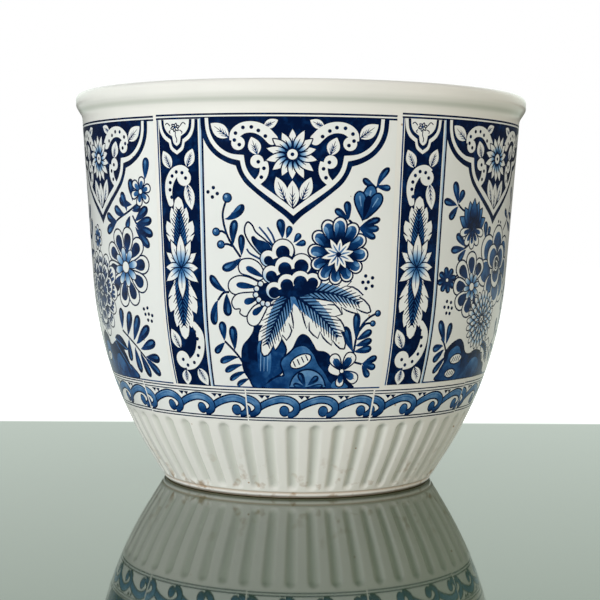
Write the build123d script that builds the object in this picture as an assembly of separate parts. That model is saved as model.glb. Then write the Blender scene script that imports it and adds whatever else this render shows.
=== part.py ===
from build123d import *
import os
from math import asin, atan, cos, pi, radians, sin, tan

# A glazed earthenware cachepot with a fluted lower wall and printed panels.
# Millimetres and degrees. The pot stands on z = 0, and its front faces -Y.

# Vessel
height = 203.5
rim_diameter = 240.0
wall_taper = 4.14            # lean of the straight upper wall off upright
cone_slope = 31.3            # lean of the wall next to the foot off upright
belly_top = 107.8            # the straight wall ends here and the belly curve begins
belly_bottom = 16.0          # the belly curve ends here and the foot cone begins
wall = 7.0
floor = 8.5
floor_corner_radius = 14.0

# Rolled lip
lip_overhang = 3.25          # reach of the lip beyond the wall below it
lip_face = 6.5               # height of the lip's outer face
lip_underside = 5.2          # height of the sloping underside
lip_cove_radius = 6.0
lip_roll_radius = 4.0
lip_edge_radius = 3.0
lip_inner_radius = 4.0

# Foot ring
foot_width = 9.0
foot_recess = 3.0            # hollow under the floor
foot_chamfer = 0.6
bead_height = 2.8            # height of the groove over the foot bead
bead_groove = 0.9            # side of the square that cuts the groove

# Flutes
flute_count = 51
flute_share = 0.55           # flute width as a share of the pitch
flute_top = 39.4             # top of the round upper end
flute_top_depth = 1.8
flute_margin = 1.6           # plain wall between the groove and the flutes
flute_low_depth = 1.5
cutter_sides = 10

# Prints, sunk into the glaze
print_depth = 0.45
print_gap = 0.8              # bare glaze between the border and the panels
border_margin = 1.9          # bare glaze between the flutes and the border
border_height = 15.8
border_count = 10
border_start = -14.4         # angle of the front strip's left edge from the front
border_gap = 0.4             # angle between neighbouring strips
border_lay = ((0.0, 0.0), (0.1, -0.15), (0.0, 0.15), (-0.1, 0.1), (0.0, -0.1))
panel_margin = 4.2           # bare glaze between the panels and the lip's cove
panel_count = 6
panel_start = -36.4          # angle of the front panel's left edge from the front
panel_gap = 0.8              # angle between neighbouring panels
panel_lay = ((0.0, 0.0), (0.5, 1.3), (0.2, 0.6), (-0.1, -0.3), (0.2, 0.4), (-0.1, -0.35))

# Wall curve: a straight taper, a belly arc tangent to it, and a straight cone to the foot
lean_top = radians(wall_taper)
lean_foot = radians(cone_slope)
belly_radius = (belly_top - belly_bottom) / (sin(lean_foot) - sin(lean_top))
rim = rim_diameter / 2
lip_low = height - lip_face - lip_underside
lip_root = rim - lip_overhang
centre_x = lip_root - (lip_low - belly_top) * tan(lean_top) - belly_radius * cos(lean_top)
centre_z = belly_top + belly_radius * sin(lean_top)
border_low = flute_top + border_margin
border_high = border_low + border_height
panel_low = border_high + print_gap
panel_high = lip_low - panel_margin


def arc_point(lean, inset):
    """Point of the belly arc where the wall has this lean, moved inwards by inset."""
    reach = belly_radius - inset
    return (centre_x + reach * cos(lean), centre_z - reach * sin(lean))


def wall_lean(z):
    """Lean of the outer wall at a height, in radians."""
    return min(max(asin((centre_z - z) / belly_radius), lean_top), lean_foot)


def wall_x(z, inset=0.0):
    """Radius of the wall surface at a height, moved inwards by inset."""
    top_x, top_z = arc_point(lean_top, inset)
    low_x, low_z = arc_point(lean_foot, inset)
    if z >= top_z:
        return top_x + (z - top_z) * tan(lean_top)
    if z <= low_z:
        return low_x - (low_z - z) * tan(lean_foot)
    return centre_x + ((belly_radius - inset) ** 2 - (centre_z - z) ** 2) ** 0.5


def wall_region(inset, low, high, corners=()):
    """Half section inside the wall surface from one height to another, then past further corners."""
    foot_end = arc_point(lean_foot, inset)
    middle = arc_point((lean_foot + lean_top) / 2, inset)
    top_end = arc_point(lean_top, inset)
    upper = [(wall_x(high, inset), high), *corners]
    top = upper[-1][1]
    outline = Polyline(top_end, *upper, (0, top), (0, low), (wall_x(low, inset), low), foot_end)
    return make_face(outline.edges() + [ThreePointArc(foot_end, middle, top_end)])


def disc_region(radius, low, high):
    """Half section of a plain disc."""
    return Pos(radius / 2, (low + high) / 2) * Rectangle(radius, high - low)


def corner(section, x, z):
    """The section's corner nearest to a point."""
    return section.vertices().sort_by_distance((x, z))[0]


def vessel_section():
    """Half section of the vessel: wall, lip, floor and foot ring."""
    roll = (rim, lip_low + lip_underside)
    edge = (rim, height)
    outer = wall_region(0, 0, lip_low, (roll, edge))
    outer = fillet(corner(outer, lip_root, lip_low), lip_cove_radius)
    outer = fillet(corner(outer, *roll), lip_roll_radius)
    outer = fillet(corner(outer, *edge), lip_edge_radius)
    floor_top = foot_recess + floor
    cavity = wall_region(wall, floor_top, height)
    cavity = fillet(corner(cavity, wall_x(floor_top, wall), floor_top), floor_corner_radius)
    foot = wall_x(0)
    section = outer - cavity - disc_region(foot - foot_width, 0, foot_recess)
    section -= Pos(wall_x(bead_height), bead_height) * Rot(0, 0, 45) * Rectangle(bead_groove, bead_groove)
    section = fillet(corner(section, wall_x(height, wall), height), lip_inner_radius)
    return chamfer(corner(section, foot, 0), foot_chamfer)


def turned(section, span=360.0):
    """Solid of revolution about the pot's axis, from the front towards +X."""
    return Rot(0, 0, -90) * revolve(Plane.XZ * section, Axis.Z, span)


def flute_width(z):
    """Width of a flute on the wall at a height."""
    return flute_share * 2 * pi * wall_x(z) / flute_count


def cutter_end(z, depth):
    """Radius of the flute cutter near a height, and its centre outside the wall there."""
    lean = wall_lean(z)
    radius = flute_width(z) ** 2 / (8 * depth) + depth / 2
    stand_off = radius - depth
    return radius, Vector(wall_x(z) + stand_off * cos(lean), 0, z - stand_off * sin(lean))


def flute_cutter():
    """Tapered rod of flat sides with domed ends, laid along the wall."""
    top_z = flute_top - flute_width(flute_top) / 2 * cos(wall_lean(flute_top))
    low_end = bead_height + flute_margin
    low_z = low_end + flute_width(low_end) / 2 * cos(wall_lean(low_end))
    low_radius, low = cutter_end(low_z, flute_low_depth)
    top_radius, top = cutter_end(top_z, flute_top_depth)
    along = (top - low).normalized()
    out = Vector(along.Z, 0, -along.X)
    dome = [radians(angle) for angle in (0, 26, 52)]
    stations = [(low - along * low_radius * sin(turn), low_radius * cos(turn)) for turn in reversed(dome)]
    stations += [(top + along * top_radius * sin(turn), top_radius * cos(turn)) for turn in dome]
    half_side = 180 / cutter_sides
    rings = [
        Plane(origin=place, x_dir=out, z_dir=along)
        * RegularPolygon(radius, cutter_sides, major_radius=False, rotation=half_side)
        for place, radius in stations
    ]
    return loft(rings, ruled=True)


def print_patch(low, high, start, span):
    """Patch of coloured glaze, flush with the wall, from one angle over a span."""
    coat = wall_region(0, 0, height) - wall_region(print_depth, 0, height)
    return Rot(0, 0, start) * turned(coat & disc_region(rim, low, high), span)


def laid_prints(name, low, high, start, gap, count, lay):
    """Named patches in a ring, each with the small turn and rise of hand laying."""
    prints = {}
    pitch = 360 / count
    for index in range(count):
        turn, rise = lay[index % len(lay)]
        angle = start + pitch * index + turn
        prints[f"{name}_{index + 1}"] = print_patch(low + rise, high + rise, angle, pitch - gap)
    return prints


prints = laid_prints("panel_print", panel_low, panel_high, panel_start, panel_gap, panel_count, panel_lay)
prints |= laid_prints("border_print", border_low, border_high, border_start, border_gap, border_count, border_lay)
cutter = flute_cutter()
flutes = [Rot(0, 0, 360 / flute_count * index) * cutter for index in range(flute_count)]
vessel = turned(vessel_section()) - flutes - list(prints.values())

os.makedirs("parts", exist_ok=True)
for name, solid in ({"vessel": vessel} | prints).items():
    export_step(solid, f"parts/{name}.step")
print(f"foot diameter {2 * wall_x(0):.1f}, belly radius {belly_radius:.1f}, vessel {vessel.volume / 1000:.0f} cm3")
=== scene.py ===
from math import asin, atan2, ceil, cos, hypot, pi, radians, sin, sqrt, tan

import bpy
import numpy as np
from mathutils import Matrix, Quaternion, Vector
from mathutils.geometry import delaunay_2d_cdt


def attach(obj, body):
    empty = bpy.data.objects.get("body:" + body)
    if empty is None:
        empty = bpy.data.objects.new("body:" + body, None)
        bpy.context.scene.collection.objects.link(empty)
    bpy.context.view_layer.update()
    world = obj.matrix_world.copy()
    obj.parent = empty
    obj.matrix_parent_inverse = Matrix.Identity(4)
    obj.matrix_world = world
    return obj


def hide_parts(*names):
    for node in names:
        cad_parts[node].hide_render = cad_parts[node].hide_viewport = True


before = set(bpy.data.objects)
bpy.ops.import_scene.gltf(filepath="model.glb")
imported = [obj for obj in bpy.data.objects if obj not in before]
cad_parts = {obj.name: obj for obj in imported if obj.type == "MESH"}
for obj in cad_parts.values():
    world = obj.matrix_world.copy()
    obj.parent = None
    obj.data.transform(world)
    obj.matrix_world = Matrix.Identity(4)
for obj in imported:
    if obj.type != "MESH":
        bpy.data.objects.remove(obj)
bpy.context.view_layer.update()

# Sizes shared with the frame, in millimetres and degrees
perMetre = 1000
pot = {
    "height": 203.5,
    "rim": 120.0,
    "taper": 4.14,
    "cone": 31.3,
    "bellyTop": 107.8,
    "bellyLow": 16.0,
    "wall": 7.0,
    "floorTop": 11.5,
    "floorCorner": 14.0,
    "lipLow": 191.8,
    "lipRoot": 116.75,
    "lipRoll": 197.0,
    "footWidth": 9.0,
    "footRecess": 3.0,
}
leanTop = radians(pot["taper"])
leanFoot = radians(pot["cone"])
bellyRadius = (pot["bellyTop"] - pot["bellyLow"]) / (sin(leanFoot) - sin(leanTop))
bellyX = pot["lipRoot"] - (pot["lipLow"] - pot["bellyTop"]) * tan(leanTop) - bellyRadius * cos(leanTop)
bellyZ = pot["bellyTop"] + bellyRadius * sin(leanTop)


def wallRadius(z, inset=0.0):
    reach = bellyRadius - inset
    topZ, lowZ = bellyZ - reach * sin(leanTop), bellyZ - reach * sin(leanFoot)
    if z >= topZ:
        return bellyX + reach * cos(leanTop) + (z - topZ) * tan(leanTop)
    if z <= lowZ:
        return bellyX + reach * cos(leanFoot) - (lowZ - z) * tan(leanFoot)
    return bellyX + sqrt(reach ** 2 - (bellyZ - z) ** 2)


def active(piece):
    bpy.ops.object.select_all(action="DESELECT")
    piece.select_set(True)
    bpy.context.view_layer.objects.active = piece


def applied(piece, kind, **settings):
    active(piece)
    bpy.ops.object.modifier_add(type=kind)
    modifier = piece.modifiers[-1]
    for key, value in settings.items():
        setattr(modifier, key, value)
    bpy.ops.object.modifier_apply(modifier=modifier.name)


# Shader nodes
def newNode(tree, kind, **values):
    node = tree.nodes.new(kind)
    for key, value in values.items():
        if key in node.inputs:
            node.inputs[key].default_value = value
        else:
            setattr(node, key, value)
    return node


def ramp(tree, stops, fac):
    node = newNode(tree, "ShaderNodeValToRGB")
    band = node.color_ramp
    while len(band.elements) < len(stops):
        band.elements.new(0.5)
    for element, (place, colour) in zip(band.elements, stops):
        element.position = place
        element.color = (*colour, 1.0) if isinstance(colour, tuple) else (colour, colour, colour, 1.0)
    tree.links.new(fac, node.inputs["Fac"])
    return node.outputs["Color"]


def mathNode(tree, operation, first, second=None, clamp=False):
    node = newNode(tree, "ShaderNodeMath", operation=operation, use_clamp=clamp)
    for socket, value in zip(node.inputs, (first, second)):
        if isinstance(value, (int, float)):
            socket.default_value = value
        elif value is not None:
            tree.links.new(value, socket)
    return node.outputs["Value"]


def mapRange(tree, value, start, end, peak=1.0):
    node = newNode(tree, "ShaderNodeMapRange", **{"From Min": start, "From Max": end, "To Max": peak})
    tree.links.new(value, node.inputs["Value"])
    return node.outputs["Result"]


def blend(tree, fac, first, second, kind="MIX"):
    node = newNode(tree, "ShaderNodeMix", data_type="RGBA", blend_type=kind)
    for name, value in (("Factor_Float", fac), ("A_Color", first), ("B_Color", second)):
        socket = next(s for s in node.inputs if s.identifier == name)
        if isinstance(value, (int, float)):
            socket.default_value = value
        elif isinstance(value, tuple):
            socket.default_value = (*value, 1.0)
        else:
            tree.links.new(value, socket)
    return next(s for s in node.outputs if s.identifier == "Result_Color")


def objectPlace(tree):
    return newNode(tree, "ShaderNodeTexCoord").outputs["Object"]


def splitAxes(tree, vector):
    node = newNode(tree, "ShaderNodeSeparateXYZ")
    tree.links.new(vector, node.inputs[0])
    return node.outputs


def noise(tree, place, **values):
    node = newNode(tree, "ShaderNodeTexNoise", **values)
    tree.links.new(place, node.inputs["Vector"])
    return node.outputs["Fac"]


def attribute(tree, name):
    return newNode(tree, "ShaderNodeAttribute", attribute_name=name).outputs["Fac"]


def newMaterial(name):
    material = bpy.data.materials.new(name)
    material.use_nodes = True
    tree = material.node_tree
    return material, tree, tree.nodes["Principled BSDF"]


# Camera, floor, world and lights
stageSettings = {
    "cameraPlace": (0.0, -0.794, 0.1367),
    "pitch": 3.0,
    "roll": 0.59,
    "lens": 87.8,
    "sensor": 36,
    "shiftX": 0.0016,
    "floorSize": 8.0,
    "floorHeight": -0.0002,
    "floorRoughness": 0.03,
    "plateBack": 0.210,
    "plateFront": 1.1,
    "plateSide": 0.85,
    "plateSkew": 0.0375,
    "plateSoft": 0.006,
    "plateView": (0.4, -0.3),
    "plateTones": ((0.40, (0.50, 0.57, 0.51)), (0.72, (0.05, 0.09, 0.05))),
    "glassTint": (0.90, 1.0, 0.92),
    "plainWhite": (1.0, 1.0, 1.0),
    "skyLight": 0.45,
    "roomMirror": 0.05,
    "backMirror": 1.38,
    "backSpan": (-0.4, 0.2),
    "backBand": ((0.04, 0.0), (0.11, 0.8), (0.26, 1.0), (0.45, 1.0), (0.7, 0.2)),
    "lightAim": (0, 0, 0.1),
    "lights": (
        ("keyLight", (-1.0, -1.45, 0.24), (0.8, 0.6), 23.0, (1.0, 0.99, 0.97)),
        ("warmFill", (1.4, -0.7, 0.5), (0.8, 0.8), 6.0, (1.0, 0.84, 0.62)),
        ("backFill", (0.8, 1.4, 0.9), (1.0, 1.0), 10.0, (1.0, 1.0, 1.0)),
    ),
}


def addCamera(settings):
    tilt = (radians(90 - settings["pitch"]), 0, 0)
    bpy.ops.object.camera_add(location=settings["cameraPlace"], rotation=tilt)
    camera = bpy.context.object
    camera.name = "photoCamera"
    camera.rotation_mode = "QUATERNION"
    roll = Quaternion((0, 0, 1), radians(settings["roll"]))
    camera.rotation_quaternion = camera.rotation_quaternion @ roll
    camera.data.lens = settings["lens"]
    camera.data.sensor_width = settings["sensor"]
    camera.data.shift_x = settings["shiftX"]
    bpy.context.scene.camera = camera


def addFloor(settings):
    bpy.ops.mesh.primitive_plane_add(size=settings["floorSize"], location=(0, 0, settings["floorHeight"]))
    floor = bpy.context.object
    floor.name = "studioFloor"
    material, tree, shader = newMaterial("studioFloorGlass")
    # White ground outside the glass plate
    place = splitAxes(tree, objectPlace(tree))
    skew = mathNode(tree, "MULTIPLY", place["X"], settings["plateSkew"])
    back = mathNode(tree, "SUBTRACT", place["Y"], skew)
    back = mathNode(tree, "SUBTRACT", back, settings["plateBack"])
    front = mathNode(tree, "SUBTRACT", -settings["plateFront"], place["Y"])
    side = mathNode(tree, "SUBTRACT", mathNode(tree, "ABSOLUTE", place["X"]), settings["plateSide"])
    outside = mathNode(tree, "MAXIMUM", mathNode(tree, "MAXIMUM", back, front), side)
    ground = mapRange(tree, outside, -settings["plateSoft"], settings["plateSoft"])
    path = newNode(tree, "ShaderNodeLightPath").outputs
    shader.inputs["Emission Color"].default_value = (*settings["plainWhite"], 1.0)
    glow = mathNode(tree, "MULTIPLY", ground, path["Is Camera Ray"])
    tree.links.new(glow, shader.inputs["Emission Strength"])
    # Painted view-dependent shade: the glass's base colour is dark where the view runs along it from the
    # front and for reflections, pale elsewhere
    geometry = newNode(tree, "ShaderNodeNewGeometry").outputs
    fromFront = mapRange(tree, splitAxes(tree, geometry["Incoming"])["Y"], *settings["plateView"])
    slant = newNode(tree, "ShaderNodeLayerWeight").outputs["Facing"]
    slant = mathNode(tree, "MULTIPLY", slant, fromFront)
    slant = mathNode(tree, "MAXIMUM", slant, path["Is Glossy Ray"])
    tree.links.new(ramp(tree, settings["plateTones"], slant), shader.inputs["Base Color"])
    shader.inputs["Roughness"].default_value = settings["floorRoughness"]
    # Clear from below
    below = newNode(tree, "ShaderNodeMixShader")
    tree.links.new(geometry["Backfacing"], below.inputs["Fac"])
    tree.links.new(shader.outputs["BSDF"], below.inputs[1])
    tree.links.new(newNode(tree, "ShaderNodeBsdfTransparent").outputs["BSDF"], below.inputs[2])
    tree.links.new(below.outputs["Shader"], tree.nodes["Material Output"].inputs["Surface"])
    floor.data.materials.append(material)


def addWorld(settings):
    world = bpy.context.scene.world or bpy.data.worlds.new("studioWorld")
    bpy.context.scene.world = world
    world.use_nodes = True
    tree = world.node_tree
    path = newNode(tree, "ShaderNodeLightPath").outputs
    glossyRay = path["Is Glossy Ray"]
    axes = splitAxes(tree, newNode(tree, "ShaderNodeTexCoord").outputs["Generated"])
    above = mathNode(tree, "MULTIPLY", ramp(tree, settings["backBand"], axes["Z"]), settings["backMirror"])
    around = mapRange(tree, axes["Y"], *settings["backSpan"])
    backdrop = mathNode(tree, "MULTIPLY", above, around)
    backdrop = mathNode(tree, "MAXIMUM", backdrop, settings["roomMirror"])
    reflected = mathNode(tree, "MULTIPLY", glossyRay, backdrop)
    plain = mathNode(tree, "SUBTRACT", 1.0, glossyRay)
    plain = mathNode(tree, "MULTIPLY", plain, settings["skyLight"])
    strength = mathNode(tree, "ADD", reflected, plain)
    strength = mathNode(tree, "MAXIMUM", strength, path["Is Camera Ray"])
    sky = tree.nodes["Background"]
    tint = blend(tree, glossyRay, settings["plainWhite"], settings["glassTint"])
    tree.links.new(tint, sky.inputs["Color"])
    tree.links.new(strength, sky.inputs["Strength"])


def addLight(name, place, aim, size, power, colour):
    bpy.ops.object.light_add(type="AREA", location=place)
    lamp = bpy.context.object
    lamp.name = name
    lamp.data.shape = "RECTANGLE"
    lamp.data.size, lamp.data.size_y = size
    lamp.data.energy = power
    lamp.data.color = colour
    lamp.visible_camera = False
    lamp.visible_glossy = False
    lamp.rotation_mode = "QUATERNION"
    lamp.rotation_quaternion = (Vector(aim) - Vector(place)).to_track_quat("-Z", "Y")


addCamera(stageSettings)
addFloor(stageSettings)
addWorld(stageSettings)
for lightName, lightPlace, lightSize, lightPower, lightColour in stageSettings["lights"]:
    addLight(lightName, lightPlace, stageSettings["lightAim"], lightSize, lightPower, lightColour)
bpy.context.scene.view_settings.view_transform = "Standard"
print("stage: camera, floor, world and 3 lights")

# Glaze shared by the vessel and the prints, its heights in metres
glazeSettings = {
    "cream": (0.80, 0.795, 0.76),
    "grey": (0.755, 0.755, 0.725),
    "clay": (0.36, 0.26, 0.18),
    "poolShadeGrey": (0.46, 0.50, 0.43),
    "stainAndShade": (0.34, 0.22, 0.12),
    "grimeAndShadow": (0.09, 0.07, 0.05),
    "cloudScale": 11.0,
    "cloudDetail": 4.0,
    "cloudBand": (0.35, 0.62),
    "poolShadeShare": 0.58,
    "pinScale": 210.0,
    "pinSize": 0.12,
    "pinChance": 0.955,
    "pinShare": 0.75,
    "stainScale": 150.0,
    "stainDetail": 3.0,
    "stainBand": ((0.57, 0.0), (0.72, 0.75)),
    "stainHeights": (0.026, 0.006),
    "grooveHeight": 0.0028,
    "grooveReach": (0.0009, 0.0),
    "grooveShare": 0.7,
    "lipHeight": 0.1940,
    "lipReach": (0.0017, 0.0003),
    "lipShare": 0.5,
    "footHeights": (0.0017, 0.0007),
    "footShare": 0.85,
    "bareHeights": (0.0006, 0.0002),
    "ripple": 0.10,
    "rippleScale": 42.0,
    "rippleDetail": 2.0,
    "rippleHeight": 0.002,
    "roughness": 0.16,
    "specular": 0.26,
}


def heightLine(tree, height, settings, name):
    away = mathNode(tree, "SUBTRACT", height, settings[name + "Height"])
    away = mathNode(tree, "ABSOLUTE", away)
    return mapRange(tree, away, *settings[name + "Reach"], settings[name + "Share"])


def glazeGroup(settings):
    group = bpy.data.node_groups.new("creamGlaze", "ShaderNodeTree")
    for label, kind in (("Color", "NodeSocketColor"), ("Normal", "NodeSocketVector")):
        group.interface.new_socket(name=label, in_out="OUTPUT", socket_type=kind)
    end = group.nodes.new("NodeGroupOutput")
    place = objectPlace(group)
    height = splitAxes(group, place)["Z"]
    outer = attribute(group, "outer")
    cloud = noise(group, place, Scale=settings["cloudScale"], Detail=settings["cloudDetail"])
    low, high = settings["cloudBand"]
    colour = ramp(group, ((low, settings["grey"]), (high, settings["cream"])), cloud)
    # Glaze pooled in the flutes, darkened further as painted shade in the hollows
    pooledShade = mathNode(group, "MULTIPLY", attribute(group, "hollow"), settings["poolShadeShare"], True)
    colour = blend(group, pooledShade, colour, settings["poolShadeGrey"])
    # Pin holes
    pins = newNode(group, "ShaderNodeTexVoronoi", Scale=settings["pinScale"])
    group.links.new(place, pins.inputs["Vector"])
    chance = newNode(group, "ShaderNodeSeparateColor")
    group.links.new(pins.outputs["Color"], chance.inputs[0])
    few = mathNode(group, "GREATER_THAN", chance.outputs["Red"], settings["pinChance"])
    small = mathNode(group, "LESS_THAN", pins.outputs["Distance"], settings["pinSize"])
    spot = mathNode(group, "MULTIPLY", mathNode(group, "MULTIPLY", few, small), settings["pinShare"])
    colour = blend(group, spot, colour, settings["stainAndShade"])
    # Stains near the foot
    dirt = noise(group, place, Scale=settings["stainScale"], Detail=settings["stainDetail"])
    patch = ramp(group, settings["stainBand"], dirt)
    soiled = mathNode(group, "MULTIPLY", mapRange(group, height, *settings["stainHeights"]), patch)
    colour = blend(group, mathNode(group, "MULTIPLY", soiled, outer), colour, settings["stainAndShade"])
    # Painted shade as dark lines: in the groove (partly dirt), under the lip, and at the foot's edge (partly
    # grime)
    groove = heightLine(group, height, settings, "groove")
    colour = blend(group, groove, colour, settings["stainAndShade"])
    # Painted shade: a darker band under the lip on the outer wall
    underLipShade = heightLine(group, height, settings, "lip")
    colour = blend(group, mathNode(group, "MULTIPLY", underLipShade, outer), colour, settings["poolShadeGrey"])
    # Painted contact shadow and grime: a dark band at the foot's edge
    edge = mapRange(group, height, *settings["footHeights"], settings["footShare"])
    colour = blend(group, edge, colour, settings["grimeAndShadow"])
    group.links.new(colour, end.inputs["Color"])
    # Ripple of the surface
    bump = newNode(group, "ShaderNodeBump", Strength=settings["ripple"], Distance=settings["rippleHeight"])
    ripple = noise(group, place, Scale=settings["rippleScale"], Detail=settings["rippleDetail"])
    group.links.new(ripple, bump.inputs["Height"])
    group.links.new(bump.outputs["Normal"], end.inputs["Normal"])
    return group


def glazed(name, settings, group):
    material, tree, shader = newMaterial(name)
    glaze = newNode(tree, "ShaderNodeGroup", node_tree=group).outputs
    shader.inputs["Roughness"].default_value = settings["roughness"]
    shader.inputs["Specular IOR Level"].default_value = settings["specular"]
    tree.links.new(glaze["Normal"], shader.inputs["Normal"])
    return material, tree, glaze["Color"], shader.inputs["Base Color"]


def glazeMaterial(settings, group):
    material, tree, colour, base = glazed("whiteGlaze", settings, group)
    bare = mapRange(tree, splitAxes(tree, objectPlace(tree))["Z"], *settings["bareHeights"])
    tree.links.new(blend(tree, bare, colour, settings["clay"]), base)
    return material


glazeNodes = glazeGroup(glazeSettings)
whiteGlaze = glazeMaterial(glazeSettings, glazeNodes)

# Vessel: a turned section with flutes pressed into the lower wall
vesselSettings = {
    "columns": 714,
    "fluteCount": 51,
    "fluteShare": 0.55,
    "fluteTop": 39.4,
    "fluteLow": 4.4,
    "topDepth": 1.8,
    "lowDepth": 1.5,
    "fluteReach": 0.05,
    "footRounds": ((0.8, 3), (0.6, 3), (0.9, 5)),
    "footWall": 4,
    "grooveHeight": 2.8,
    "grooveLine": ((-0.75, 0.0, -0.75), (0.0, 0.52, -0.225), (0.0, 0.65, 0.0), (0.75, 0.15, 0.6)),
    "fluteRows": (3.7, 0.93, 41),
    "bellyRows": (45, 5.3, 13),
    "upperRows": (117, 130, 145, 160, 175, 182),
    "lipRounds": ((6.0, 7), (4.0, 5), (3.0, 6), (4.0, 6)),
    "lipWall": 150,
    "innerRows": (185, 160, 135, 112, 100, 88, 76, 64, 52, 40, 31),
    "innerWall": 30,
    "innerSteps": 7,
    "seamWeld": 0.00001,
    "weld": 0.00002,
}


def rounded(before, corner, after, radius, steps):
    ax, ay = before[0] - corner[0], before[1] - corner[1]
    bx, by = after[0] - corner[0], after[1] - corner[1]
    la, lb = hypot(ax, ay), hypot(bx, by)
    ax, ay, bx, by = ax / la, ay / la, bx / lb, by / lb
    half = asin(min(1.0, hypot(ax - bx, ay - by) / 2))
    mx, my = ax + bx, ay + by
    lm = hypot(mx, my)
    cx, cy = corner[0] + mx / lm * radius / sin(half), corner[1] + my / lm * radius / sin(half)
    touch = radius / tan(half)
    start = atan2(corner[1] + ay * touch - cy, corner[0] + ax * touch - cx)
    sweep = atan2(corner[1] + by * touch - cy, corner[0] + bx * touch - cx) - start
    sweep = (sweep + pi) % (2 * pi) - pi
    turns = [start + sweep * k / steps for k in range(steps + 1)]
    return [(cx + radius * cos(turn), cy + radius * sin(turn)) for turn in turns]


def roundedLine(corners, rounds):
    line = []
    for k, (radius, steps) in enumerate(rounds):
        line += rounded(*corners[k:k + 3], radius, steps)
    return line


def vesselSection(settings):
    wall, floorTop, recess = pot["wall"], pot["floorTop"], pot["footRecess"]
    foot = wallRadius(0)
    inside = foot - pot["footWidth"]
    level = settings["footWall"]
    section = [(0, recess), (inside * 0.5, recess)]
    corners = [(0, recess), (inside, recess), (inside, 0), (foot, 0), (wallRadius(level), level)]
    section += roundedLine(corners, settings["footRounds"])
    groove = settings["grooveHeight"]
    section += [(wallRadius(groove + at) - deep, groove + rise) for at, deep, rise in settings["grooveLine"]]
    for low, step, count in (settings["fluteRows"], settings["bellyRows"]):
        section += [(wallRadius(z), z) for z in (low + step * k for k in range(count))]
    section += [(wallRadius(z), z) for z in settings["upperRows"]]
    level, top = settings["lipWall"], pot["height"]
    corners = [(wallRadius(level), level), (pot["lipRoot"], pot["lipLow"]), (pot["rim"], pot["lipRoll"]),
               (pot["rim"], top), (wallRadius(top, wall), top), (wallRadius(level, wall), level)]
    section += roundedLine(corners, settings["lipRounds"])
    section += [(wallRadius(z, wall), z) for z in settings["innerRows"]]
    level = settings["innerWall"]
    corners = [(wallRadius(level, wall), level), (wallRadius(floorTop, wall), floorTop), (0, floorTop)]
    section += rounded(*corners, pot["floorCorner"], settings["innerSteps"])
    return section + [(inside * 0.5, floorTop), (0, floorTop)]


def fluteWeight(x, y, z, settings):
    pitch = 2 * pi / settings["fluteCount"]
    angle = (atan2(y, x) + pitch / 2) % pitch - pitch / 2
    lean = min(max(asin((bellyZ - z) / bellyRadius), leanTop), leanFoot)
    share = settings["fluteShare"] * pitch / 2
    half = share * wallRadius(z)
    top = settings["fluteTop"] - share * wallRadius(settings["fluteTop"]) * cos(lean)
    low = settings["fluteLow"] + share * wallRadius(settings["fluteLow"]) * cos(lean)
    past = max(z - top, low - z, 0) / cos(lean)
    reach = hypot(angle * wallRadius(z), past) / half
    if reach >= 1:
        return 0.0
    depth = settings["lowDepth"] + (settings["topDepth"] - settings["lowDepth"]) * (z - low) / (top - low)
    return (1 - reach ** 2) * depth / settings["topDepth"]


def buildVessel(settings, material):
    section = vesselSection(settings)
    places = [(x / perMetre, 0, z / perMetre) for x, z in section]
    mesh = bpy.data.meshes.new("vesselGlazed")
    mesh.from_pydata(places, [(k, k + 1) for k in range(len(section) - 1)], [])
    piece = bpy.data.objects.new("vesselGlazed", mesh)
    bpy.context.collection.objects.link(piece)
    applied(piece, "SCREW", steps=settings["columns"], render_steps=settings["columns"],
            use_merge_vertices=True, merge_threshold=settings["seamWeld"])
    bpy.ops.object.mode_set(mode="EDIT")
    bpy.ops.mesh.select_all(action="SELECT")
    bpy.ops.mesh.remove_doubles(threshold=settings["weld"])
    bpy.ops.mesh.normals_make_consistent(inside=False)
    bpy.ops.object.mode_set(mode="OBJECT")
    flutes = piece.vertex_groups.new(name="flutes")
    hollow = [0.0] * len(piece.data.vertices)
    outer = [0.0] * len(piece.data.vertices)
    for vertex in piece.data.vertices:
        x, y, z = (perMetre * value for value in vertex.co)
        outer[vertex.index] = float(hypot(x, y) > wallRadius(z, pot["wall"] / 2))
        onWall = abs(hypot(x, y) - wallRadius(z)) < settings["fluteReach"]
        if settings["fluteLow"] < z < settings["fluteTop"] and onWall:
            hollow[vertex.index] = fluteWeight(x, y, z, settings)
    for index, weight in enumerate(hollow):
        if weight > 0:
            flutes.add([index], weight, "REPLACE")
    for name, values in (("hollow", hollow), ("outer", outer)):
        piece.data.attributes.new(name, "FLOAT", "POINT").data.foreach_set("value", values)
    depth = settings["topDepth"] / perMetre
    applied(piece, "DISPLACE", strength=-depth, mid_level=0.0, vertex_group="flutes")
    bpy.ops.object.shade_smooth()
    piece.data.materials.append(material)
    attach(piece, "root")
    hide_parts("vessel")
    print("vessel:", len(piece.data.vertices), "vertices, section of", len(section))


buildVessel(vesselSettings, whiteGlaze)

# Drawing tools for the prints: closed outlines in millimetres, painted in order
white, pale, light, mid, deep, navy = 0.0, 0.22, 0.4, 0.58, 0.8, 1.0
lineWidth = 0.62
lineGrowth = 0.2
fineLine = 0.4
stemWidth = 1.1
dotRadius = 0.92
strokeRun = 4
leafSteps = 11


def smoothLine(points, closed=False, step=0.9):
    count = len(points)
    pick = (lambda i: points[i % count]) if closed else (lambda i: points[min(max(i, 0), count - 1)])
    line = []
    for i in range(count if closed else count - 1):
        a, b, c, d = pick(i - 1), pick(i), pick(i + 1), pick(i + 2)
        parts = max(2, ceil(hypot(c[0] - b[0], c[1] - b[1]) / step))
        for k in range(parts):
            t = k / parts
            line.append(tuple(
                b[n] + 0.5 * t * (c[n] - a[n] + t * (2 * a[n] - 5 * b[n] + 4 * c[n] - d[n]
                                                     + t * (3 * (b[n] - c[n]) + d[n] - a[n])))
                for n in range(len(b))))
    return line if closed else line + [tuple(points[-1])]


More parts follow.
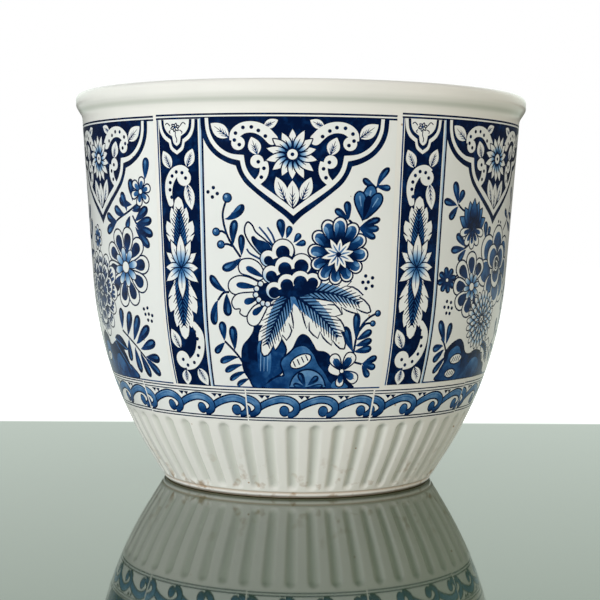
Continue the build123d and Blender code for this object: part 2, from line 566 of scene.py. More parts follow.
def offsetOutline(outline, inset):
    count = len(outline)
    area = sum(outline[i - 1][0] * p[1] - p[0] * outline[i - 1][1] for i, p in enumerate(outline))
    side = inset if area > 0 else -inset
    moved = []
    for i, (x, y) in enumerate(outline):
        px, py = outline[i - 1]
        qx, qy = outline[(i + 1) % count]
        tx, ty = qx - px, qy - py
        size = hypot(tx, ty) or 1.0
        moved.append((x - side * ty / size, y + side * tx / size))
    return moved


def polar(x, y, reach, angle):
    return (x + reach * cos(angle), y + reach * sin(angle))


class Sheet:
    def __init__(self):
        self.shapes = []

    def fill(self, outline, ink):
        self.shapes.append((outline, ink))

    def edged(self, outline, ink, line=lineWidth):
        self.fill(offsetOutline(outline, -lineGrowth), navy)
        self.fill(offsetOutline(outline, line), ink)

    def blob(self, points, ink):
        self.fill(smoothLine(points, True), ink)

    def edgedBlob(self, points, ink, line=lineWidth):
        self.edged(smoothLine(points, True), ink, line)

    def bar(self, x0, y0, x1, y1, ink):
        self.fill([(x0, y0), (x1, y0), (x1, y1), (x0, y1)], ink)

    def disc(self, x, y, r, ink, line=0.0, sides=0):
        count = sides or max(9, min(28, int(r * 9)))
        ring = [polar(x, y, r, 2 * pi * k / count) for k in range(count)]
        if line:
            self.edged(ring, ink, line)
        else:
            self.fill(ring, ink)

    def stroke(self, points, ink, width=lineWidth, ends=(1.0, 1.0), step=0.9):
        line = smoothLine(points, step=step)
        left, right = [], []
        last = len(line) - 1
        for i, p in enumerate(line):
            q, r = line[max(i - 1, 0)], line[min(i + 1, last)]
            tx, ty = r[0] - q[0], r[1] - q[1]
            size = hypot(tx, ty) or 1.0
            t = i / last
            half = (p[2] if len(p) > 2 else width) / 2 * (ends[0] + (ends[1] - ends[0]) * t)
            left.append((p[0] - ty / size * half, p[1] + tx / size * half))
            right.append((p[0] + ty / size * half, p[1] - tx / size * half))
        for k in range(0, last, strokeRun):
            end = min(k + strokeRun + 1, last + 1)
            self.fill(left[k:end] + right[k:end][::-1], ink)


# Half width of a leaf along its length, from 0 at the base to 1 at the tip
leafForms = {
    "brush": lambda t: max(t ** 0.85 * (1 - t ** 3.2) ** 0.55 * 1.18, 0.12 * (1 - t)),
    "petal": lambda t: max(sin(pi * t ** 0.8) ** 0.75, 0.2 * (1 - t)),
    "leaf": lambda t: sin(pi * t ** 0.9) ** 0.85,
}


def leafOutline(x0, y0, x1, y1, width, bend=0.0, form="brush"):
    length = hypot(x1 - x0, y1 - y0)
    ux, uy = (x1 - x0) / length, (y1 - y0) / length
    left, right = [], []
    for k in range(leafSteps + 1):
        t = sin(pi / 2 * k / leafSteps)
        half = leafForms[form](t) * (width / 2)
        sway = 4 * bend * length * t * (1 - t)
        cx, cy = x0 + ux * length * t - uy * sway, y0 + uy * length * t + ux * sway
        slope = 4 * bend * (1 - 2 * t)
        tx, ty = ux - uy * slope, uy + ux * slope
        size = hypot(tx, ty)
        left.append((cx - ty / size * half, cy + tx / size * half))
        right.append((cx + ty / size * half, cy - tx / size * half))
    return left + right[-2:0:-1]


def between(a, b, t):
    return (a[0] + (b[0] - a[0]) * t, a[1] + (b[1] - a[1]) * t)


def fade(a, b, start, end):
    return (a, b, start[0], start[1], end[0], end[1])


def mirrored(points, about=0.0):
    return [(2 * about - p[0], *p[1:]) for p in points]


# Motifs that the panels share
def brushLeaf(s, x0, y0, x1, y1, width, bend=0.0):
    base, tip = (x0, y0), (x1, y1)
    s.fill(leafOutline(x0, y0, x1, y1, width * 1.65, bend), fade(deep, navy, base, tip))
    length = hypot(x1 - x0, y1 - y0)
    ox, oy = -(y1 - y0) / length * width * 0.1, (x1 - x0) / length * width * 0.1
    a, b = between(base, tip, 0.36), between(base, tip, 0.88)
    shine = leafOutline(a[0] + ox, a[1] + oy, b[0] + ox, b[1] + oy, width * 0.55, bend * 0.6)
    s.fill(shine, fade(deep, mid, a, b))


def whiteLeaf(s, x0, y0, x1, y1, width, veins=3):
    s.fill(leafOutline(x0, y0, x1, y1, width, 0.0, "leaf"), white)
    base, tip = (x0, y0), (x1, y1)
    length = hypot(x1 - x0, y1 - y0)
    ux, uy = (x1 - x0) / length, (y1 - y0) / length
    s.stroke([base, between(base, tip, 0.8)], navy, 0.5, (1.6, 0.3))
    for k in range(veins):
        x, y = between(base, tip, 0.06 + 0.16 * k)
        reach = width * (0.5 - 0.06 * k)
        for side in (-1, 1):
            end = (x + ux * reach * 0.9 - side * uy * reach * 0.5,
                   y + uy * reach * 0.9 + side * ux * reach * 0.5)
            s.stroke([(x, y), end], deep, 0.42, (1.3, 0.3))


def berry(s, x, y, r):
    s.disc(x, y, r, fade(mid, deep, (x - r, y + r), (x + r, y - r)), fineLine)
    s.disc(x - r * 0.25, y + r * 0.3, r * 0.3, light)


def dots(s, places):
    for x, y in places:
        s.disc(x, y, dotRadius, navy, sides=9)


def comma(s, spine, ball, dotPlaces):
    s.stroke(spine, white)
    s.disc(*ball, white)
    x, y, width = spine[0]
    s.disc(x, y, width / 2, white)
    dots(s, dotPlaces)


def daisy(s, x, y, count, inner, outer, width, turn=90.0, ring=2.4):
    for k in range(count):
        a = (turn + 360 * k / count) * pi / 180
        reach = outer * (1 + 0.06 * sin(5 * k))
        base, tip = polar(x, y, inner, a), polar(x, y, reach, a)
        petal = leafOutline(*base, *tip, width, 0, "petal")
        s.edged(petal, fade(deep, white, base, between(base, tip, 0.5)), fineLine)
        s.stroke([base, between(base, tip, 0.55)], navy, 0.7, (1.5, 0.3))
    s.disc(x, y, ring, white)
    s.disc(x, y, ring * 0.38, navy)


def dropPetal(s, outline, drop):
    s.edgedBlob(outline, white, 0.5)
    x0, y0, x1, y1, width = drop
    s.fill(leafOutline(x1, y1, x0, y0, width), fade(navy, deep, (x1, y1), (x0, y0)))


def tier(s, lobes, body):
    for x, y, r, _ in lobes:
        s.disc(x, y, r + lineWidth, navy)
    for k, (x, y, r, _) in enumerate(lobes):
        s.disc(x, y, r, white if k else fade(white, light, (x, y), (x - r, y - r)))
    for x, y, r, band in lobes:
        s.disc(x, y - 1.0, r - band, fade(deep, navy, (x, y + r - band), (x, y)))
    s.blob(body, navy)


def hatchLeaf(s, outline, rib, reach, ground=False, wash=mid, gap=1.7):
    if ground:
        s.fill(outline, white)
    else:
        s.edged(outline, white)
    rib = smoothLine(rib, step=gap)
    last = len(rib) - 1
    along = []
    for k in range(last + 1):
        (px, py), (qx, qy) = rib[max(k - 1, 0)], rib[min(k + 1, last)]
        size = hypot(qx - px, qy - py)
        full = sin(pi * (0.08 + 0.9 * k / last) ** 0.75) ** 0.8
        along.append(((qx - px) / size, (qy - py) / size, full))
    core = []
    for side in (1, -1):
        edge = [(x - side * uy * reach * 0.52 * full, y + side * ux * reach * 0.52 * full)
                for (x, y), (ux, uy, full) in zip(rib, along)]
        core += edge[::side]
    s.fill(core, wash)
    for k in range(1, last):
        (x, y), (ux, uy, full) = rib[k], along[k]
        length = reach * (0.12 + 0.9 * full) * (0.92 + 0.12 * (k % 3))
        for side in (1, -1):
            end = (x + (ux * 0.8 - side * uy * 0.6) * length, y + (uy * 0.8 + side * ux * 0.6) * length)
            s.stroke([(x, y), between((x, y), end, 0.5), end], navy, 1.0, (1.0, 0.35))
    s.stroke(rib, navy, 1.1, (1.3, 0.4))


# Outline of one tooth of a leaf: share of its length, share of the leaf's half width
toothOutline = ((0.0, 0.66), (0.3, 0.86), (0.62, 0.97), (0.96, 1.0))


def toothedLeaf(s, x0, y0, x1, y1, width, bend=0.0, ground=False, lobes=5):
    length = hypot(x1 - x0, y1 - y0)
    ux, uy = (x1 - x0) / length, (y1 - y0) / length

    def place(t, off):
        off += 4 * bend * length * t * (1 - t)
        return (x0 + ux * length * t - uy * off, y0 + uy * length * t + ux * off)

    edges = []
    for side in (1, -1):
        edge = []
        for k in range(lobes):
            for part, reach in toothOutline:
                t = (k + part) / lobes
                full = (t / 0.46) ** 0.75 if t < 0.46 else ((1 - t) / 0.54) ** 0.8
                edge.append(place(min(t + 0.26 * part / lobes, 1.0), side * reach * full * width / 2))
        edges.append(edge)
    outline = edges[0] + [(x1, y1)] + edges[1][:0:-1]
    rib = [place(t, 0.0) for t in (0.0, 0.3, 0.6, 0.82)]
    start, end = (deep, mid) if ground else (mid, pale)
    hatchLeaf(s, outline, rib, width * 0.4, ground, fade(start, end, (x0, y0), (x1, y1)), length / 15)

# Front panel and what all panels share
sheetFrame = {
    "left": -68.4,
    "right": 47.8,
    "low": 57.9,
    "high": 187.6,
    "railWidth": 0.9,
    "rails": (187.1, 185.5),
    "posts": ((-67.7, -67.7, 0.8, deep), (-44.2, -43.9, 1.1, pale), (-43.4, -43, 1.0, navy)),
    "postMiddle": 120,
    "postTop": 185.2,
    "sill": (-43.4, 58.6),
}

lambrequin = {
    "bands": (
        (
            navy, [(43.9, 185.4), (43.4, 179), (41.2, 173.2), (37, 168.2), (31.5, 164.8), (26.8, 163.2)],
            [(26.8, 163.2), (25.4, 159.6), (22.6, 155.2), (18, 151), (10, 144.6), (4, 140), (0, 135.9)],
        ),
        (
            white, [(41.6, 185.4), (41.1, 179.6), (39.1, 174.4), (35.4, 170), (30.2, 167), (24.8, 165.6)],
            [(24.8, 165.6), (23.6, 161), (21, 156.9), (16.2, 152.4), (9, 147), (4.5, 143.8), (0, 140.2)],
        ),
        (
            navy, [(39.9, 185.4), (39.4, 180), (37.5, 175.4), (34.2, 171.6), (29.4, 168.9), (23, 168.1)],
            [(23, 168.1), (22, 162.8), (19.4, 158.3), (14.8, 154.3), (8.4, 149.7), (4, 146.4), (0, 143.2)],
        ),
    ),
    "leaves": (
        (-30, 176.3, -38.6, 182.8, 6.4), (-13.6, 181, -7.2, 184.2, 4.2), (-16.6, 168.2, -19.4, 176.4, 6),
        (-3.8, 147.4, -8, 158, 5.6),
    ),
    "commas": (
        (
            [
                (-9.8, 175.4, 5.2), (-13.5, 179, 5.3), (-18, 180.9, 5.2), (-23, 180.6, 5.2),
                (-26.8, 178, 5), (-28, 174.6, 3.4),
            ],
            (-25.6, 173.6, 3.2),
            [
                (-25, 172.9), (-27.3, 175), (-26.7, 178.2), (-23.2, 180.8), (-19.3, 181), (-16.1, 179.4),
                (-12.9, 176.8),
            ],
        ),
        (
            [(-16.6, 155.6, 3.2), (-14.2, 158.4, 4), (-13.4, 161.8, 4.2), (-14, 165, 4)],
            (-16.8, 165.2, 3.1), [(-16.2, 165), (-13.6, 162), (-14.8, 157.9)],
        ),
    ),
    "middleLeaf": (-0.4, 143.8, -0.5, 156.4, 6.2),
    "daisy": (-0.6, 168.5, 14, 2.2, 12, 4.5),
}

pilaster = {
    "left": -66.9,
    "right": -45.2,
    "high": 185.0,
    "axis": -56.8,
    "bands": (
        (
            white, [(10, 185), (9.5, 180.4), (7.6, 176.6), (4.4, 174.2)],
            [(4.4, 174.2), (3.4, 171), (0, 168.6)],
        ),
        (
            navy, [(8.5, 185), (8, 180.8), (6.3, 177.8), (3.3, 175.6)],
            [(3.3, 175.6), (2.5, 172.4), (0, 170.4)],
        ),
        (
            white, [(7.1, 185), (6.6, 181.4), (5, 178.9), (2.4, 177.2)],
            [(2.4, 177.2), (1.7, 174), (0, 172.6)],
        ),
    ),
    "flower": (-57.4, 181.3),
    "flowerPetals": 6,
    "flowerReach": (2.6, 2.1),
    "twigs": (
        [(-57.2, 179.4), (-57.4, 177.6), (-56.6, 175.6), (-57, 174.2)],
        [(-60.2, 182), (-61.8, 183.4), (-63, 182.6)], [(-54.6, 182), (-53, 183.6), (-51.6, 182.6)],
        [(-60, 180), (-61, 179.2), (-60.2, 178.6)], [(-55, 180), (-53.6, 179.2), (-54, 178.4)],
    ),
    "leaves": (
        (-60.8, 162, -64.8, 170.4, 5.6), (-51.6, 162.6, -48.3, 171.2, 5.4), (-51.8, 155, -49.6, 142.6, 5.6),
        (-60.8, 75.8, -65.2, 85.2, 5.6), (-59.4, 65.4, -60, 57.9, 5.8), (-51.4, 66.6, -46.8, 58.3, 5.8),
    ),
    "commas": (
        (
            [
                (-61.4, 145.6, 3), (-62.4, 150.6, 4), (-61.6, 155.8, 4.8), (-58.6, 160, 5),
                (-54.6, 161, 5.2), (-51.8, 159.6, 4.4),
            ],
            (-53.4, 157.6, 3.8),
            [
                (-60.8, 148.5), (-61.6, 152), (-61.3, 155.4), (-60.1, 158.5), (-57.6, 160.4), (-54.4, 160),
                (-52.5, 157.5),
            ],
        ),
        (
            [
                (-51, 88, 2.6), (-48.4, 83.6, 4), (-48.4, 78, 4.6), (-50.4, 72.6, 5), (-54.4, 68.8, 5.2),
                (-59, 67.8, 5),
            ],
            (-60.2, 70.4, 4.2),
            [
                (-51.1, 84.4), (-49.8, 81), (-49.3, 76.8), (-50.5, 72.8), (-53.4, 69.2), (-57.7, 67.7),
                (-60.2, 70.4),
            ],
        ),
    ),
    "toothed": ((-56.6, 117, -57, 148.6, 18.5), (-56.6, 116, -57, 80.6, 19.5)),
    "heart": (-56.6, 115),
    "petals": (
        (140, 11.6, 5), (40, 11.6, 5), (180, 9.6, 5), (0, 9.8, 5), (216, 11.8, 5), (324, 11.8, 5),
        (114, 14.6, 5), (66, 14.6, 5), (270, 15, 5), (90, 16.2, 5.4),
    ),
}


def drawBands(s, bands, about=0.0):
    for ink, *parts in bands:
        upper, lower = (smoothLine(part) for part in parts)
        half = [(x + about, y) for x, y in upper + lower[1:]]
        s.fill(half + mirrored(half[-2::-1], about), ink)


def drawLambrequin(s):
    drawBands(s, lambrequin["bands"])
    for flip in (-1, 1):
        for x0, y0, x1, y1, width in lambrequin["leaves"]:
            whiteLeaf(s, flip * x0, y0, flip * x1, y1, width)
        for spine, (x, y, r), places in lambrequin["commas"]:
            spine = [(flip * px, py, width) for px, py, width in spine]
            comma(s, spine, (flip * x, y, r), [(flip * px, py) for px, py in places])
    whiteLeaf(s, *lambrequin["middleLeaf"])
    daisy(s, *lambrequin["daisy"])


def drawRails(s, place):
    left, right, low, width = place["left"], place["right"], place["low"], place["railWidth"]
    for y in place["rails"]:
        s.bar(left, y - width / 2, right, y + width / 2, navy)
    for x0, x1, width, ink in place["posts"]:
        post = [(x0, low), ((x0 + x1) / 2, place["postMiddle"]), (x1, place["postTop"])]
        s.stroke(post, ink, width, step=6)
    sillLeft, sillTop = place["sill"]
    s.bar(sillLeft, low, right, sillTop, deep)


def drawPilaster(s, place):
    s.bar(place["left"], sheetFrame["low"], place["right"], place["high"], navy)
    drawBands(s, place["bands"], place["axis"])
    x, y = place["flower"]
    reachX, reachY = place["flowerReach"]
    for k in range(place["flowerPetals"]):
        a = (15 + 60 * k) * pi / 180
        s.edged(leafOutline(x, y, x + reachX * cos(a), y + reachY * sin(a), 1.5, 0, "petal"), white, fineLine)
    s.disc(x, y, 0.5, deep)
    for points in place["twigs"]:
        s.stroke(points, navy, 0.5)
    for leaf in place["leaves"]:
        whiteLeaf(s, *leaf, veins=4)
    for spine, ball, places in place["commas"]:
        comma(s, spine, ball, places)
    for leaf in place["toothed"]:
        toothedLeaf(s, *leaf, ground=True)
    heart = place["heart"]
    for angle, reach, width in place["petals"]:
        a = angle * pi / 180
        tip = polar(*heart, reach, a)
        petal = leafOutline(*heart, *tip, width, 0, "leaf")
        s.edged(petal, fade(deep, white, heart, between(heart, tip, 0.56)), fineLine)
        s.stroke([between(heart, tip, 0.15), between(heart, tip, 0.66)], deep, 0.6, (1.4, 0.3))


def drawGround(s, panel):
    drawRails(s, sheetFrame)
    drawPilaster(s, pilaster)
    drawLambrequin(s)
    dots(s, panel["dots"])
    for points in panel["stems"]:
        s.stroke(points, navy, stemWidth)
    for spot in panel["berries"]:
        berry(s, *spot)
    for leaf in panel["leaves"]:
        brushLeaf(s, *leaf)


panelA = {
    "dots": (
        (-38, 153), (-40.8, 151), (-36.1, 150.2), (-38.6, 148.6), (35.1, 112.3), (38.6, 111.4),
        (33.8, 109.3), (36.5, 109.4), (38.6, 107.5), (35.5, 106.4),
    ),
    "stems": (
        [(-32, 146.4), (-33.5, 141.5), (-33.3, 137), (-31.8, 131.5), (-29.5, 127), (-25, 120.5)],
        [(-31.6, 131.2), (-34, 132.6), (-36, 132.4)], [(-28.8, 125.6), (-31.4, 126.6), (-33.4, 126.4)],
        [(-31, 104), (-34, 103.5), (-37, 100)],
        [(-20.6, 58.6), (-22.6, 64), (-25.4, 70), (-29, 75), (-34.5, 80.5)],
        [(30.6, 72), (31.2, 77), (32, 83), (34.5, 89), (38, 92.6), (41, 94.2)],
        [(33, 86), (36, 89.4), (39, 89.8)], [(26, 138.5), (29, 136), (31, 135)],
        [(36.5, 151), (39, 154), (42, 154.6)], [(32, 71), (36, 70)],
    ),
    "berries": (
        (-31.2, 148.3, 2.2), (-37.1, 132.3, 1.9), (-34.8, 126.4, 1.9), (42.3, 94.5, 1.5), (40, 89.7, 1.4),
    ),
    "leaves": (
        (-32.8, 138, -23.5, 145.3, 3.6, -0.12), (-28.5, 126, -27.3, 138, 3.6, 0.06),
        (-24.5, 121, -24.5, 131.3, 3), (-25, 120.5, -34.5, 115.2, 3.8, 0.12),
        (-32, 104, -40.4, 112, 3.4, 0.12), (-32.5, 103.5, -32, 92.5, 4),
        (-37, 100.5, -39.3, 88, 3.6, -0.08), (-34.5, 80.5, -35.5, 90, 3.6), (-29.3, 76, -30, 88, 3.8),
        (-34.5, 80, -40.3, 74.5, 3), (-27.4, 73, -38, 70, 3, -0.06), (-25.4, 69.4, -35.8, 65.4, 2.7, -0.06),
        (-23.8, 66, -33.6, 61.2, 2.5, -0.07), (-22.4, 62.6, -29.8, 58.8, 2.2, -0.06),
        (-4.8, 129.5, -6.2, 138.7, 3.6), (-3, 129.5, -1.3, 135.5, 2.6), (0.3, 127.5, 3.3, 132, 2.6),
        (1, 126.5, 6, 128, 2.7), (39, 154, 32.3, 158, 2.8, 0.1), (39, 153.6, 45, 163, 3, 0.08),
        (39, 154, 46, 153.5, 2.8), (26, 138.5, 19.3, 143.5, 3), (26, 138.5, 24.8, 147.3, 3.2),
        (31, 134.6, 41.5, 139, 3, 0.05), (31, 134.6, 41, 134.5, 3.1), (31, 134.4, 39.3, 130, 3),
        (31, 76, 26, 88.5, 4, 0.05), (31.8, 82, 31.5, 95, 3.4), (32, 81.6, 39.8, 86.3, 3.2),
        (31.6, 78.8, 40.3, 81.8, 3.1), (31, 76, 40.5, 77.8, 3.3), (36, 70, 44, 73.5, 3.1),
        (36, 70, 43.8, 68.2, 3.1), (36, 69.6, 40.5, 63.5, 3.1),
    ),
    "rockLines": (-16.2, -14.4, -12.6),
    "pill": (4.2, 71.6),
    "pillLines": ((0.9, 70.2), (3, 71.2), (5.1, 72.3), (7.2, 73.2)),
    "arch": (8, 58.4, 9.6, 9.4),
    "archLeaves": (
        (7, 58.8, 3.4, 66, 3), (8, 59.6, 13.4, 64.2, 2.8), (8, 58.9, 16.2, 59.6, 2),
        (7, 58.9, 0.4, 60.2, 2.2),
    ),
    "blossom": (25.6, 66.8),
    "blossomTips": ((19.8, 74.8, 8.4), (24.6, 58.8, 6.6), (34.4, 61.8, 8.4), (31.2, 75.6, 9)),
    "dahlia": (21.5, 122.3),
    "dahliaTips": (
        (9.4, 132.6, 9.4), (6.8, 124.4, 9.6), (8.6, 116.4, 9.2), (13, 110.4, 9.2), (20, 108, 9.4),
        (27, 109.6, 9.2), (32.8, 114.8, 9.4), (36, 122.4, 9.8), (34.4, 130.8, 9.8), (15, 138.4, 9.8),
        (29.6, 137, 10), (22, 140, 10.2),
    ),
    "bud": (33, 138),
    "budTips": ((36.8, 155, 9.4), (30.4, 152, 8.6), (41.2, 151, 8.8)),
}

peony = {
    "toothed": (
        (2.0, 104.4, 38.6, 95.4, 20.0, 0.10), (-1.0, 104.0, -14.6, 73.6, 21.0, -0.03),
        (0.4, 103.4, 26.2, 77.6, 20.5, 0.06),
    ),
    "curls": (
        [(-16, 134.8), (-12.4, 130.6), (-9.3, 126)], [(-12.1, 134.7), (-9.8, 131.2), (-8.4, 127.4)],
        [(-22, 124.6), (-20.4, 122.4), (-15.4, 119.8)],
    ),
    "dropPetals": (
        (
            [
                (-13.5, 112), (-15.2, 117.2), (-19.5, 120), (-24.6, 119.6), (-26.4, 116.5), (-25.2, 113),
                (-21, 111.6), (-16, 109.6),
            ],
            (-22.4, 116, -13.4, 111, 4.4),
        ),
        (
            [
                (-15, 107.6), (-20, 111), (-26, 112), (-30.4, 110), (-31.6, 106.6), (-30, 103.6),
                (-26, 102.6), (-19, 104),
            ],
            (-27.4, 107.6, -16.6, 106.6, 4.4),
        ),
        (
            [
                (-16.4, 103.6), (-22, 104.2), (-27.6, 103), (-30, 99.4), (-28.6, 96), (-25.8, 96),
                (-26, 94), (-22.6, 92.6), (-18, 97),
            ],
            (-23.6, 99.2, -16.6, 101.4, 4.6),
        ),
        (
            [
                (-14, 99.6), (-18.6, 98), (-22.2, 93.4), (-22, 89.6), (-19.6, 88), (-16.6, 89), (-13.6, 94),
                (-12, 98),
            ],
            (-19.4, 93.6, -13.6, 98.2, 4.4),
        ),
    ),
    "heart": (-12.4, 104, 4.8),
    "beads": ((-15.4, 108.2), (-17.3, 105.9), (-17.7, 103), (-16.3, 100.7), (-14.3, 99.1), (-12, 98.8)),
    "tiers": (
        (
            ((-11.6, 120.2, 3.7, 1.5), (-4.8, 124, 5, 1.7)),
            [(-12.6, 118.6), (-9, 120), (-2, 122), (0, 118), (-8, 115.6)],
        ),
        (
            ((-10.2, 112.8, 4, 1.3), (4, 117.6, 4.7, 1.3), (-3.8, 116.4, 4.6, 1.4)),
            [(-12, 111), (-8, 112), (-3, 114.6), (4, 116), (7, 113), (2, 110), (-8, 108)],
        ),
        (
            ((-8.8, 105.2, 3.9, 1.2), (9.4, 109.8, 3.7, 1), (-2.8, 108.6, 4.3, 1.2), (3.6, 110, 4.5, 1.2)),
            [(-10.4, 103.8), (-4, 106.4), (4, 108), (11, 108), (10, 104.6), (3, 102.6), (-6, 102.4)],
        ),
    ),
}


def drawPanelA(s):
    drawGround(s, panelA)
    drawRocks(s, panelA)
    drawPeony(s, peony)
    drawDahlia(s, panelA)


def drawRocks(s, panel):
    s.edgedBlob([
        (-18.7, 93), (-19.2, 86.5), (-21.5, 82.5), (-25, 78.5), (-26.1, 73), (-25.5, 66.5), (-23, 62.3),
        (-20.5, 58), (-14.7, 58), (-12, 61.5), (-5, 66), (-4.5, 72), (-2.8, 77), (-5, 82), (-9, 88),
        (-13, 94),
    ], fade(deep, navy, (-13, 70), (-21, 74)), 0.7)
    s.blob([(-17, 80), (-17.8, 73), (-17, 66), (-14.6, 63), (-11.6, 66), (-10.8, 74), (-13, 82)],
           fade(deep, mid, (-18, 70), (-13, 73)))
    for x in panel["rockLines"]:
        s.stroke([(x - 0.4, 66.4), (x, 72), (x + 0.5, 78.6)], light, 0.6, (0.4, 1.2))
    s.blob([
        (-15, 58), (-13, 61), (-8.5, 64.2), (-5, 65), (-6.5, 70), (-5.5, 73), (-2.5, 75.5), (0, 78),
        (2.5, 83), (5, 84.8), (8, 83.5), (10.5, 80), (12.5, 77), (16, 76.5), (19, 74.5), (19.5, 71),
        (18.5, 67.5), (21, 65.3), (28, 63.8), (30.5, 61), (31.8, 58.2), (10, 58),
    ], navy)
    s.blob([
        (-14, 58.4), (-12, 61), (-7.6, 63.6), (-4, 64.4), (-5.6, 70), (-4.6, 72.6), (-1.6, 75), (2, 78.2),
        (6.5, 78.6), (10.5, 74.8), (13, 70), (16, 66.5), (18.6, 62.5), (19.4, 58.4),
    ], fade(deep, mid, (2, 59), (4, 78)))
    s.blob([(21, 58.6), (21.6, 61.6), (25, 62.2), (28, 60.6), (29.4, 58.6)], mid)
    x, y = panel["pill"]
    pill = [(x + 5.9 * cos(a) * 0.9 - 3.1 * sin(a) * 0.44, y + 5.9 * cos(a) * 0.44 + 3.1 * sin(a) * 0.9)
            for a in (2 * pi * k / 22 for k in range(22))]
    s.edged(pill, white, 0.5)
    for x, y in panel["pillLines"]:
        s.stroke([(x - 0.6, y + 1.4), (x + 0.7, y - 1.3)], navy)
    x, y, wide, tall = panel["arch"]
    arch = [(x + wide * cos(pi * k / 20), y + tall * sin(pi * k / 20)) for k in range(21)]
    s.edged(arch, fade(mid, light, (x, 58), (x, 68)))
    for leaf in panel["archLeaves"]:
        brushLeaf(s, *leaf)
    heart = panel["blossom"]
    for *tip, width in panel["blossomTips"]:
        s.edged(leafOutline(*heart, *tip, width), white, 0.5)
        core = leafOutline(*heart, *between(heart, tip, 0.74), width * 0.62)
        s.fill(core, fade(navy, light, between(heart, tip, 0.2), tip))
        s.stroke([between(heart, tip, 0.3), between(heart, tip, 0.82)], deep, 0.6, (1.4, 0.3))
    s.disc(*heart, 1.3, white, fineLine)


def drawPeony(s, flower):
    for leaf in flower["toothed"]:
        toothedLeaf(s, *leaf)
    s.edgedBlob([
        (-14, 121), (-19.5, 125.6), (-22.8, 131), (-23, 135), (-21.3, 137.3), (-19, 135.6), (-17.4, 132.6),
        (-13, 129), (-9.6, 125.4),
    ], fade(light, white, (-13, 122), (-17, 129)))
    s.blob([
        (-19.8, 130), (-18.6, 130.6), (-16.6, 129), (-13, 128), (-10.6, 126), (-11, 123.6), (-14.6, 122.2),
        (-17.6, 125), (-19.4, 127.8),
    ], fade(deep, navy, (-11, 124), (-18, 129)))
    for points in flower["curls"]:
        s.stroke(points, deep, 0.8, (1.0, 1.3))
    for outline, drop in flower["dropPetals"]:
        dropPetal(s, outline, drop)
    s.disc(*flower["heart"], navy)
    for x, y in flower["beads"]:
        s.disc(x, y, 1.55, fade(white, pale, (x + 1, y + 1), (x - 1, y - 1)), 0.45)
    s.blob([
        (-10, 122), (-2, 124), (1, 121), (9, 118), (12, 110), (6, 103.4), (-4, 102.6), (-11, 105),
        (-13, 113),
    ], navy)
    s.edgedBlob([(-1.5, 127), (0.6, 125), (0.4, 120.6), (-3, 119.6)], light)
    for lobes, body in flower["tiers"]:
        tier(s, lobes, body)


def drawDahlia(s, panel):
    x, y = heart = panel["dahlia"]
    s.disc(x, y, 10, navy)
    for tipX, tipY, width in panel["dahliaTips"]:
        tip = (tipX, tipY)
        root = between(heart, tip, 0.16)
        s.edged(leafOutline(*root, *tip, width), white)
        core = leafOutline(*root, *between(heart, tip, 0.9), width * 0.74)
        s.fill(core, fade(navy, mid, between(heart, tip, 0.4), tip))
        sideX, sideY = -(tipY - y) * 0.09, (tipX - x) * 0.09
        a, b = between(heart, tip, 0.48), between(heart, tip, 0.84)
        shine = leafOutline(a[0] + sideX, a[1] + sideY, b[0] + sideX, b[1] + sideY, width * 0.3)
        s.fill(shine, fade(deep, light, a, b))
    s.disc(x, y, 5.4, navy)
    for k in range(10):
        a = (84 + 36 * k) * pi / 180
        reach = 7.2 + 0.9 * (k % 2)
        s.fill(leafOutline(x, y, *polar(x, y, reach, a), 2.5, 0, "leaf"), white)
        s.stroke([polar(x, y, 1.2, a), polar(x, y, 5.4, a)], mid, 0.8, (1.5, 0.3))
    s.disc(x, y, 1.3, navy)
    root = panel["bud"]
    for *tip, width in panel["budTips"]:
        s.edged(leafOutline(*root, *tip, width), fade(deep, mid, (33, 141), tip))
        s.stroke([between(root, tip, 0.5), between(root, tip, 0.84)], light, 0.7, (0.4, 1.2))
    s.fill(leafOutline(33, 138.6, 35.4, 150, 5), navy)

# Wave border: one strip holds three waves
borderFrame = {
    "left": 0.0,
    "right": 69.9,
    "low": 41.3,
    "high": 57.1,
    "waves": (85.7, 64.0, 42.3, 20.7, -1.0),
    "rails": ((56.7, 0.6), (55.3, 0.55), (43.1, 0.65), (41.75, 0.6)),
    "spine": (
        (-15, 46.6, 1.2), (-12.6, 49, 2.3), (-8, 51.1, 2.6), (-2, 52.6, 2.8), (3.2, 52, 2.9),
        (6.5, 49.7, 3), (6.6, 46.9, 2.7), (4.4, 45.1, 2.1), (1.8, 44.6, 1.6),
    ),
    "spineEdge": 1.5,
    "ballHeight": 46.7,
    "ballEdge": 2.9,
    "ball": 2.3,
    "teeth": ((9.4, 54.6, 1.9), (12.6, 54.5, 1.6)),
    "toothDrop": 1.9,
}


def drawBorder(s, strip):
    for y, width in strip["rails"]:
        s.bar(strip["left"], y - width / 2, strip["right"], y + width / 2, navy)
    for ball in strip["waves"]:
        spine = [(ball + x, y, width) for x, y, width in strip["spine"]]
        s.stroke([(x, y, width + strip["spineEdge"]) for x, y, width in spine], navy)
        s.disc(ball, strip["ballHeight"], strip["ballEdge"], navy)
        s.stroke(spine, fade(deep, light, (ball, 44), (ball, 55)))
        s.stroke([(ball + x, y + 0.5, 0.9) for x, y, _ in strip["spine"][1:6]], mid, ends=(0.5, 0.6))
        s.disc(ball, strip["ballHeight"], strip["ball"], fade(deep, mid, (ball, 44.5), (ball, 49)))
        for x, y, half in strip["teeth"]:
            tip = (ball + x + 0.2, y - strip["toothDrop"])
            s.fill([(ball + x - half, y), (ball + x + half, y), tip], navy)


